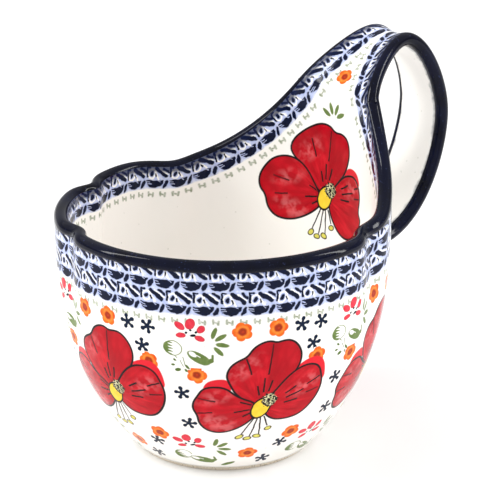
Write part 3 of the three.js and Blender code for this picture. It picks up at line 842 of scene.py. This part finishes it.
def turnColumns():  # from the middle of the back to the front, close together beside the strap
    step = math.radians(cup["columns"])
    corner = cup["nose"] * climbStretch / (climb * wallMiddle)
    bend = corner * (1 - np.cos(np.linspace(math.pi / 2, 0, cup["noseSteps"] + 1)))
    back = np.linspace(0, backAngle - corner, int((backAngle - corner) / step) + 1)
    front = np.linspace(backAngle, math.pi, int((math.pi - backAngle) / step))
    return np.concatenate([back[:-1], backAngle - bend, front[1:]])


def noseDepths(reach, steps):  # from `reach` below the crest up to it, even steps round a quarter circle
    return reach * (1 - np.cos(np.linspace(math.pi / 2, 0, steps + 1)))


def wallPatch(side, sheet):  # half of the wall's outside or inside, from its foot or floor to the crest
    turn = turnColumns()
    angle = side * turn
    stretch = np.where(turn > backAngle + 1e-9, rimStretch(angle), climbStretch)
    top = rimTop(angle)
    shoulder = top - cup["nose"] * stretch
    if sheet > 0:
        rise = np.linspace(0, 1, cup["wallRows"])[:, None]
        low = cup["footHeight"] + rise * (shoulder - cup["footHeight"])
    else:
        bowl = np.linspace(0, cup["floorShare"], cup["floorRows"])[:, None]
        floor = 1 - (1 - bowl ** cup["floorRound"]) ** (1 / cup["belly"])
        floor = cup["floor"] + floor * (cup["rimHeight"] - cup["floor"])
        rise = np.linspace(0, 1, cup["bowlRows"])[1:, None]
        low = np.concatenate([floor + 0 * shoulder, floor[-1] + rise * (shoulder - floor[-1])])
    nose = top - noseDepths(cup["nose"], cup["noseSteps"])[1:, None] * stretch
    height = np.concatenate([low, nose])
    angle = angle + 0 * height
    points = wallPoint(angle, height, sheet)
    radius = np.hypot(points[..., 0], points[..., 1])
    along, below = rimward(wallMiddle * angle, height, side)
    if sheet > 0:
        up = np.interp(height, profileHeights, profileClimb)
        maps = paintMaps(angle, up, radius, outsidePoppies, outsideMotifs, sheet)
    else:
        maps = paintMaps(angle, height, radius, [poppy["inside"]], insideMotifs, sheet)
    rows = 2.0 if sheet > 0 else 1.0
    maps["rimward"] = faceCorners(np.stack([along * sheet, below, rows + 0 * below], -1))
    return patch(points, flip=side * sheet < 0, maps=maps)


def basePatch(side):  # the underside, drawn in from the foot of the wall to the axis
    angle = side * turnColumns()
    share = np.array([1, 0.97, 0.8, 0.79, 0.5, 0.0])[:, None]
    recess = cup["footRecess"]
    low = cup["footHeight"] - cup["footStep"]
    height = np.array([cup["footHeight"], low, low, recess, recess, recess])[:, None]
    radius = outerRadius(angle, cup["footHeight"] + 0 * angle) * share
    points = np.stack([radius * np.cos(angle), radius * np.sin(angle), height + 0 * radius], -1)
    return patch(points, flip=side > 0)


def joinPatch(side):  # closes the wall where the strap begins, under the strap
    angle = side * turnColumns()[turnColumns() <= backAngle + 1e-9]
    height = splitHeight + 0 * angle
    points = np.stack([wallPoint(angle, height, 1), wallPoint(angle, height, -1)])
    return patch(points, smooth=False, flip=side < 0)


cupPatches = [wallPatch(side, sheet) for side in (1, -1) for sheet in (1, -1)]
cupPatches += [make(side) for side in (1, -1) for make in (basePatch, joinPatch)]
meshPiece("glazed_cup", cupPatches, painted, "cup_body")


# The strap

def strapRows():  # a thin first and last row, so that the shading runs on over the joins
    inner = np.linspace(0, len(strapArcs), strap["rows"])
    thin = strap["thinRow"]
    return np.concatenate([[0, thin], inner[1:-1], [len(strapArcs) - thin, len(strapArcs)]])


def strapSheet(at, place, across, side, lift=0.0):  # rounded at both edges, and run on from the wall
    half = strap["half"] + lift
    depth = (at["edge"][..., 1] - np.abs(across)) / at["stretch"] + lift
    proud = side * half * noseShare(depth, cup["nose"] + lift)
    points = strapPoint(at, across, proud)
    angle = np.arcsin(across[:1] / wallMiddle)
    start = wallPoint(angle, splitHeight + 0 * angle, -side, lift)
    fade = 1 - smoothStep(0, strap["startBlend"], place)[..., None]
    return points + (start - points[:1]) * fade


def strapPatch(hand, side):  # half of one face, level across and then a quarter circle to the edge
    place = strapRows()[:, None]
    at = strapFrame(place)
    width = at["edge"][..., 1]
    corner = cup["nose"] * at["stretch"]
    flat = np.linspace(0, 1, strap["columns"])[None]
    bend = 1 - np.cos(np.linspace(math.pi / 2, 0, cup["noseSteps"] + 1))[None, 1:]
    across = hand * np.concatenate([flat * (width - corner), width - corner * bend], 1)
    climbed = np.interp(place, strapPlaces, pathLength)
    up = splitHeight + climbed + 0 * across
    along, below = rimward(across * sheetWiden, up, hand)
    if side > 0:
        rows = np.ones(across.shape)
        turn, radius = across / wallMiddle, wallMiddle + 0 * across
        maps = paintMaps(turn, up, radius, [poppy["inside"]], insideMotifs, -1)
    else:
        rows = np.where(climbed < strap["backBorder"], 2.0, 0.0) + 0 * across
        maps = {}
    maps["rimward"] = faceCorners(np.stack([-side * along, below, rows], -1))
    return patch(strapSheet(at, place, across, side), flip=side * hand > 0, maps=maps)


strapFaces = {(hand, side): strapPatch(hand, side) for hand in (1, -1) for side in (1, -1)}


def strapEnd(hand, row):  # closes one half of the strap's first or last row
    pair = [strapFaces[hand, side]["points"][row] for side in (1, -1)]
    return patch(np.stack(pair), smooth=False, flip=hand < 0 if row == 0 else hand > 0)


strapEnds = [strapEnd(hand, row) for hand in (1, -1) for row in (0, -1)]
meshPiece("loop_strap", list(strapFaces.values()) + strapEnds, painted, "strap_handle")

# The pad that joins the loop to the wall
pad = {"steps": 14, "sink": 0.4, "flare": 2.6}


def padPatches():  # the strap's last outline, carried to the wall and flared by a quarter circle
    upper, lower = (np.concatenate([strapFaces[-1, side]["points"][-1][::-1],
                                    strapFaces[1, side]["points"][-1][1:]]) for side in (-1, 1))
    ring = np.concatenate([upper, lower[::-1][1:]])
    ahead = np.roll(ring[:-1], -1, axis=0) - np.roll(ring[:-1], 1, axis=0)
    outward = np.stack([-ahead[:, 2], ahead[:, 1]], -1)
    outward /= np.maximum(np.linalg.norm(outward, axis=1, keepdims=True), 1e-9)
    outward = np.concatenate([outward, outward[:1]])
    outward[0] = outward[-1] = (-1, 0)
    share = np.sin(np.linspace(0, math.pi / 2, pad["steps"]))[:, None]
    flare = pad["flare"] * (1 - np.sqrt(1 - share ** 2))
    y, z = ring[:, 1] + outward[:, 0] * flare, ring[:, 2] + outward[:, 1] * flare
    bearing = np.arcsin(y / outerRadius(0 * y, z))
    wall = outerRadius(bearing, z) * np.cos(bearing) - pad["sink"]
    x = ring[:, 0] + (wall - ring[:, 0]) * share
    points = np.stack([x, y, z], -1)
    count = len(upper)
    caps = [patch(np.stack([row[:count], row[count - 1:][::-1]]), smooth=False, flip=flip)
            for row, flip in ((points[0], False), (points[-1], True))]
    return [patch(points, flip=True)] + caps


meshPiece("loop_pad", padPatches(), plain, "strap_pad")


# Cobalt rim and strap edges
band = {"outside": 3.1, "inside": 1.4, "lift": 0.06, "thickness": 0.12, "rows": 14, "wedge": 8}


def bandDepths():  # below the crest outside, over it, and down inside
    lift, reach = band["lift"], cup["nose"] + band["lift"]
    nose = noseDepths(reach, band["rows"])[:-1] - lift
    outer = np.concatenate([[band["outside"]], nose])
    inner = np.concatenate([nose[nose < band["inside"]][::-1], [band["inside"]]])
    return np.concatenate([outer, [-lift], inner]), np.concatenate([0 * outer + 1, [1], 0 * inner - 1])


def rimBandPatch(side):  # round the cup, ending in a wedge along the foot of the strap
    turn = turnColumns()
    turn = turn[turn > backAngle + 1e-9]
    depth, sheet = (values[:, None] for values in bandDepths())
    share = np.linspace(1, 0, band["wedge"])
    wedge = backAngle - share * depth * climbStretch / (climb * wallMiddle)
    wedgeHeight = splitHeight - (1 - share) * depth * climbStretch
    height = rimTop(side * turn) - depth * rimStretch(side * turn)
    angle = side * np.concatenate([wedge, turn + 0 * height], 1)
    height = np.concatenate([wedgeHeight, height], 1)
    return patch(wallPoint(angle, height, sheet, band["lift"]), flip=side < 0)


def edgeBandPatch(hand):  # the same section along one edge of the strap
    place = strapRows()[:, None]
    at = strapFrame(place)
    depth, sheet = (values[None] for values in bandDepths())
    across = hand * (at["edge"][..., 1] - depth * at["stretch"])
    return patch(strapSheet(at, place, across, -sheet, band["lift"]), flip=hand < 0)


def cobaltSkin(name, patches, node):  # a skin of glaze, thickened inwards
    shell = meshPiece(name, patches, cobalt, node).modifiers.new("glaze_thickness", "SOLIDIFY")
    shell.thickness, shell.offset, shell.use_even_offset = band["thickness"] * mm, -1, False


cobaltSkin("cobalt_rim", [rimBandPatch(side) for side in (1, -1)], "rim_band")
cobaltSkin("cobalt_edge_left", [edgeBandPatch(1)], "strap_edge_left")
cobaltSkin("cobalt_edge_right", [edgeBandPatch(-1)], "strap_edge_right")

# The foot ring
foot = {"outside": 27.6, "width": 5.0, "rounding": 0.7, "overlap": 0.15, "columns": 180}


def footPatch():  # a rounded ring section turned round the axis
    sine, cosine = (wave(np.linspace(0, math.pi / 2, 6)) for wave in (np.sin, np.cos))
    corner, top = foot["rounding"], cup["footHeight"]
    outer, inner = foot["outside"], foot["outside"] - foot["width"]
    wide = outer + foot["overlap"]
    radius = np.concatenate([[wide], outer - corner * (1 - cosine), inner + corner * (1 - sine),
                             [inner, (outer + inner) / 2, wide]])[:, None]
    height = np.concatenate([[top], corner * (1 - sine), corner * (1 - cosine), [top, top, top]])[:, None]
    angle = np.linspace(0, 2 * math.pi, foot["columns"] + 1)
    points = np.stack([radius * np.cos(angle), radius * np.sin(angle), height + 0 * angle], -1)
    return patch(points, flip=True)


meshPiece("clay_foot", [footPatch()], clay, "foot_ring")
print("seven pieces made")


# Floor, light and camera; lengths in millimetres, angles in degrees
studio = {
    "distance": 750.0, "lens": 172.8, "aim": (0.0, 0.0, 60.0), "right": 8.44, "up": 2.66,
    "azimuth": -41.0, "elevation": 20.0, "floorSize": 30.0,
    # softboxes, in metres and watts: how far to the right, forward and up, then size and power
    "leftSoftbox": (-0.8, -0.1, 0.6, (0.12, 0.8), 6.0), "rightSoftbox": (0.9, -0.1, 0.4, (0.1, 0.8), 5.0),
    "skylight": 1.5, "skylightAngle": 150.0, "skylightRight": 0.1, "skylightAhead": 0.45, "sky": 0.48,
}


def makeFloor():  # a plain pale plane
    bpy.ops.mesh.primitive_plane_add(size=studio["floorSize"])
    floor = bpy.context.object
    floor.name = "floor"
    pale = Glaze("pale_floor")
    cloud = pale.noise(pale.node("ShaderNodeTexCoord", output=3), 3.0)
    bump = pale.node("ShaderNodeBump", None, {"Strength": 0.02, "Height": cloud})
    colour = pale.blend(cloud, paint(252, 252, 252), paint(250, 250, 250))
    floor.data.materials.append(pale.surface(colour, 0.9, bump).material)


def aimed(name, data, place, ahead):  # a light or camera at a place in metres, looking ahead
    made = bpy.data.objects.new(name, data)
    bpy.context.collection.objects.link(made)
    made.location, made.rotation_euler = place, ahead.to_track_quat("-Z", "Y").to_euler()
    return made


def makeCamera():  # stands back from the aim by the distance, turned by the azimuth and elevation
    turn, tilt = math.radians(studio["azimuth"]), math.radians(studio["elevation"])
    level = Vector((-math.sin(turn), math.cos(turn), 0))
    ahead = level * math.cos(tilt) - Vector((0, 0, math.sin(tilt)))
    right = Vector((math.cos(turn), math.sin(turn), 0))
    aim = Vector(studio["aim"]) + right * studio["right"] + right.cross(ahead) * studio["up"]
    aim = (aim + Vector((axisX, 0, 0))) * mm
    data = bpy.data.cameras.new("camera")
    data.lens, data.sensor_width, data.clip_start = studio["lens"], 36, 0.01
    camera = aimed("camera", data, aim - ahead * (studio["distance"] * mm), ahead)
    bpy.context.scene.camera = camera
    return aim, right, ahead


def softbox(name, middle, right, ahead):  # a tall narrow light beside the mug
    toRight, forward, up, size, power = studio[name]
    data = bpy.data.lights.new(name, "AREA")
    data.shape, data.size, data.size_y, data.energy = "RECTANGLE", size[0], size[1], power
    place = middle + right * toRight + ahead * forward + Vector((0, 0, up))
    aimed(name, data, place, middle - place)


def skylight(right, ahead):  # a very soft sun from above and behind the camera
    data = bpy.data.lights.new("skylight", "SUN")
    data.energy, data.angle = studio["skylight"], math.radians(studio["skylightAngle"])
    towards = Vector((0, 0, 1)) - right * studio["skylightRight"] - ahead * studio["skylightAhead"]
    aimed("skylight", data, Vector((0, 0, 0)), -towards)


makeFloor()
middle, rightWay, aheadWay = makeCamera()
softbox("leftSoftbox", middle, rightWay, aheadWay)
softbox("rightSoftbox", middle, rightWay, aheadWay)
skylight(rightWay, aheadWay)

world = bpy.data.worlds.new("studio")
world.use_nodes = True
world.node_tree.nodes["Background"].inputs[0].default_value = (1, 1, 1, 1)
world.node_tree.nodes["Background"].inputs[1].default_value = studio["sky"]
bpy.context.scene.world = world
bpy.context.scene.view_settings.view_transform = "Standard"
bpy.context.scene.view_settings.look = "None"
print("floor, lights and camera set")
